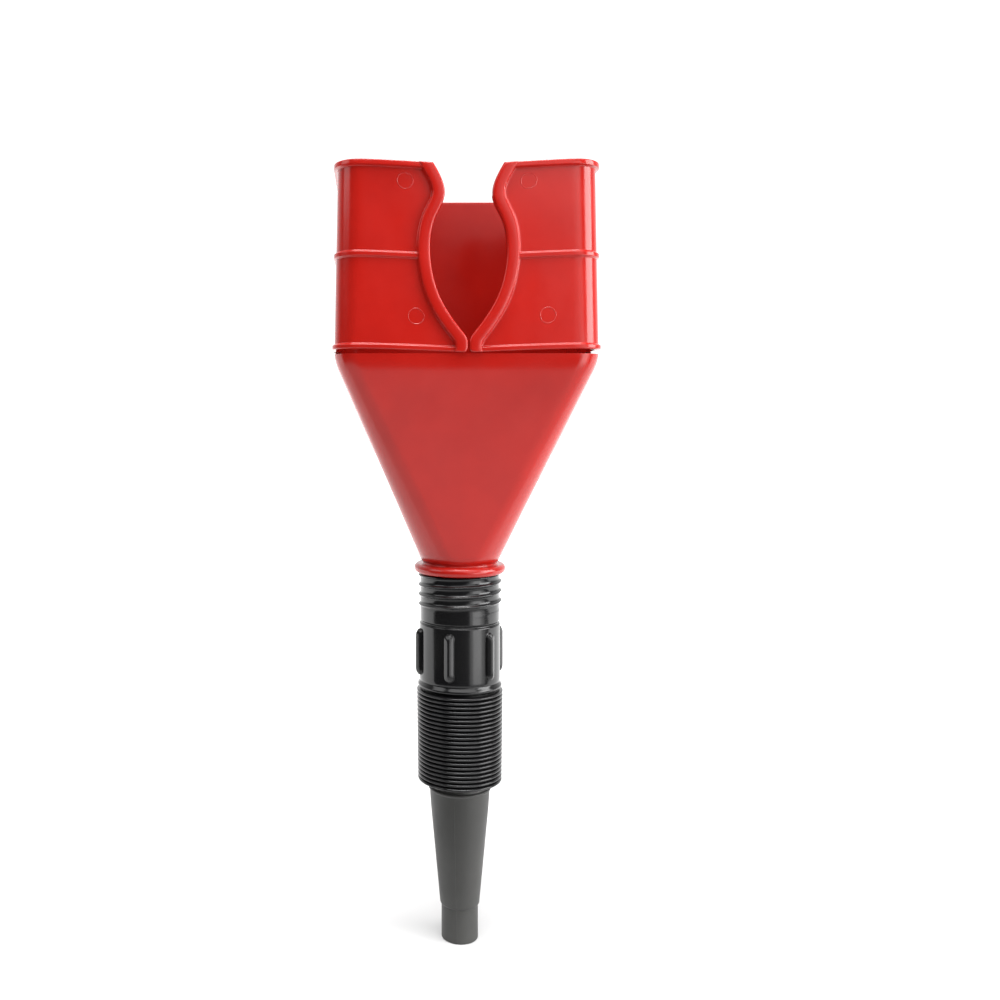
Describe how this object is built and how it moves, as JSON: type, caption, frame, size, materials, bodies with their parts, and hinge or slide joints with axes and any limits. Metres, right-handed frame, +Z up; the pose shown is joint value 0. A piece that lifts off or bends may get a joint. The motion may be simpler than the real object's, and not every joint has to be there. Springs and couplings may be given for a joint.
{
  "type": "funnel",
  "caption": "Fuel funnel: rectangular hopper with a split snap slot for a bottle neck, cone, beaded neck, ribbed screw collar, stretching and bending bellows spout, tapered nozzle.",
  "frame": {"origin": "centre of the nozzle's mouth", "axes": "+Z up the spout to the hopper's rim, -Y the front with the bottle slot, +X to the right seen from the front"},
  "size_m": [0.1044, 0.0805, 0.315],
  "materials": {
    "red_plastic": "glossy moulded polypropylene, slightly translucent",
    "black_plastic": "glossy moulded polyethylene",
    "grey_plastic": "matt moulded polyethylene"
  },
  "bodies": {
    "nozzle": {"nozzle": "grey_plastic"},
    "fold_22": {"bellows_fold_22": "black_plastic"},
    "fold_21": {"bellows_fold_21": "black_plastic"},
    "fold_20": {"bellows_fold_20": "black_plastic"},
    "fold_19": {"bellows_fold_19": "black_plastic"},
    "fold_18": {"bellows_fold_18": "black_plastic"},
    "fold_17": {"bellows_fold_17": "black_plastic"},
    "fold_16": {"bellows_fold_16": "black_plastic"},
    "fold_15": {"bellows_fold_15": "black_plastic"},
    "fold_14": {"bellows_fold_14": "black_plastic"},
    "fold_13": {"bellows_fold_13": "black_plastic"},
    "fold_12": {"bellows_fold_12": "black_plastic"},
    "fold_11": {"bellows_fold_11": "black_plastic"},
    "fold_10": {"bellows_fold_10": "black_plastic"},
    "fold_09": {"bellows_fold_09": "black_plastic"},
    "fold_08": {"bellows_fold_08": "black_plastic"},
    "fold_07": {"bellows_fold_07": "black_plastic"},
    "fold_06": {"bellows_fold_06": "black_plastic"},
    "fold_05": {"bellows_fold_05": "black_plastic"},
    "fold_04": {"bellows_fold_04": "black_plastic"},
    "fold_03": {"bellows_fold_03": "black_plastic"},
    "fold_02": {"bellows_fold_02": "black_plastic"},
    "fold_01": {"bellows_fold_01": "black_plastic"},
    "collar": {"grip_collar": "black_plastic"},
    "hopper": {"hopper": "red_plastic"},
    "left_flap": {"left_flap": "red_plastic"},
    "right_flap": {"right_flap": "red_plastic"}
  },
  "joints": [
    {"name": "bellows_bend", "type": "hinge", "parent": "nozzle", "child": "fold_22", "pos_m": [0.01745, 0, 0.0659], "axis": [0, 1, 0], "range_deg": [0, 5]},
    {"name": "bellows_stretch", "type": "slide", "parent": "fold_22", "child": "fold_21", "axis": [0, 0, 1], "range_m": [0, 0.0034]},
    {"name": "bend_02", "type": "hinge", "parent": "fold_21", "child": "fold_20", "pos_m": [0.0175, 0, 0.06938], "axis": [0, 1, 0], "range_deg": [0, 5]},
    {"name": "stretch_02", "type": "slide", "parent": "fold_20", "child": "fold_19", "axis": [0, 0, 1], "range_m": [0, 0.0034]},
    {"name": "bend_03", "type": "hinge", "parent": "fold_19", "child": "fold_18", "pos_m": [0.01755, 0, 0.07286], "axis": [0, 1, 0], "range_deg": [0, 5]},
    {"name": "stretch_03", "type": "slide", "parent": "fold_18", "child": "fold_17", "axis": [0, 0, 1], "range_m": [0, 0.0034]},
    {"name": "bend_04", "type": "hinge", "parent": "fold_17", "child": "fold_16", "pos_m": [0.01759, 0, 0.07634], "axis": [0, 1, 0], "range_deg": [0, 5]},
    {"name": "stretch_04", "type": "slide", "parent": "fold_16", "child": "fold_15", "axis": [0, 0, 1], "range_m": [0, 0.0034]},
    {"name": "bend_05", "type": "hinge", "parent": "fold_15", "child": "fold_14", "pos_m": [0.01764, 0, 0.07983], "axis": [0, 1, 0], "range_deg": [0, 5]},
    {"name": "stretch_05", "type": "slide", "parent": "fold_14", "child": "fold_13", "axis": [0, 0, 1], "range_m": [0, 0.0034]},
    {"name": "bend_06", "type": "hinge", "parent": "fold_13", "child": "fold_12", "pos_m": [0.01769, 0, 0.08331], "axis": [0, 1, 0], "range_deg": [0, 5]},
    {"name": "stretch_06", "type": "slide", "parent": "fold_12", "child": "fold_11", "axis": [0, 0, 1], "range_m": [0, 0.0034]},
    {"name": "bend_07", "type": "hinge", "parent": "fold_11", "child": "fold_10", "pos_m": [0.01774, 0, 0.08679], "axis": [0, 1, 0], "range_deg": [0, 5]},
    {"name": "stretch_07", "type": "slide", "parent": "fold_10", "child": "fold_09", "axis": [0, 0, 1], "range_m": [0, 0.0034]},
    {"name": "bend_08", "type": "hinge", "parent": "fold_09", "child": "fold_08", "pos_m": [0.01778, 0, 0.09027], "axis": [0, 1, 0], "range_deg": [0, 5]},
    {"name": "stretch_08", "type": "slide", "parent": "fold_08", "child": "fold_07", "axis": [0, 0, 1], "range_m": [0, 0.0034]},
    {"name": "bend_09", "type": "hinge", "parent": "fold_07", "child": "fold_06", "pos_m": [0.01783, 0, 0.09376], "axis": [0, 1, 0], "range_deg": [0, 5]},
    {"name": "stretch_09", "type": "slide", "parent": "fold_06", "child": "fold_05", "axis": [0, 0, 1], "range_m": [0, 0.0034]},
    {"name": "bend_10", "type": "hinge", "parent": "fold_05", "child": "fold_04", "pos_m": [0.01788, 0, 0.09724], "axis": [0, 1, 0], "range_deg": [0, 5]},
    {"name": "stretch_10", "type": "slide", "parent": "fold_04", "child": "fold_03", "axis": [0, 0, 1], "range_m": [0, 0.0034]},
    {"name": "bend_11", "type": "hinge", "parent": "fold_03", "child": "fold_02", "pos_m": [0.01793, 0, 0.10072], "axis": [0, 1, 0], "range_deg": [0, 5]},
    {"name": "stretch_11", "type": "slide", "parent": "fold_02", "child": "fold_01", "axis": [0, 0, 1], "range_m": [0, 0.0034]},
    {"name": "bend_12", "type": "hinge", "parent": "fold_01", "child": "collar", "pos_m": [0.01795, 0, 0.1042], "axis": [0, 1, 0], "range_deg": [0, 5]},
    {"name": "collar_turn", "type": "hinge", "parent": "collar", "child": "hopper", "pos_m": [0, 0, 0.142], "axis": [0, 0, 1], "range_deg": [0, 360]},
    {"name": "left_flap_flex", "type": "hinge", "parent": "hopper", "child": "left_flap", "pos_m": [-0.0523, -0.016, 0.279], "axis": [0, 0, -1], "range_deg": [0, 10], "stiffness_Nm_per_rad": 2},
    {"name": "right_flap_flex", "type": "hinge", "parent": "hopper", "child": "right_flap", "pos_m": [0.0523, -0.016, 0.279], "axis": [0, 0, 1], "range_deg": [0, 10], "stiffness_Nm_per_rad": 2}
  ],
  "couplings": [
    {"joint": "bend_02", "follows": "bellows_bend", "ratio": 1},
    {"joint": "stretch_02", "follows": "bellows_stretch", "ratio": 1},
    {"joint": "bend_03", "follows": "bellows_bend", "ratio": 1},
    {"joint": "stretch_03", "follows": "bellows_stretch", "ratio": 1},
    {"joint": "bend_04", "follows": "bellows_bend", "ratio": 1},
    {"joint": "stretch_04", "follows": "bellows_stretch", "ratio": 1},
    {"joint": "bend_05", "follows": "bellows_bend", "ratio": 1},
    {"joint": "stretch_05", "follows": "bellows_stretch", "ratio": 1},
    {"joint": "bend_06", "follows": "bellows_bend", "ratio": 1},
    {"joint": "stretch_06", "follows": "bellows_stretch", "ratio": 1},
    {"joint": "bend_07", "follows": "bellows_bend", "ratio": 1},
    {"joint": "stretch_07", "follows": "bellows_stretch", "ratio": 1},
    {"joint": "bend_08", "follows": "bellows_bend", "ratio": 1},
    {"joint": "stretch_08", "follows": "bellows_stretch", "ratio": 1},
    {"joint": "bend_09", "follows": "bellows_bend", "ratio": 1},
    {"joint": "stretch_09", "follows": "bellows_stretch", "ratio": 1},
    {"joint": "bend_10", "follows": "bellows_bend", "ratio": 1},
    {"joint": "stretch_10", "follows": "bellows_stretch", "ratio": 1},
    {"joint": "bend_11", "follows": "bellows_bend", "ratio": 1},
    {"joint": "stretch_11", "follows": "bellows_stretch", "ratio": 1},
    {"joint": "bend_12", "follows": "bellows_bend", "ratio": 1}
  ]
}
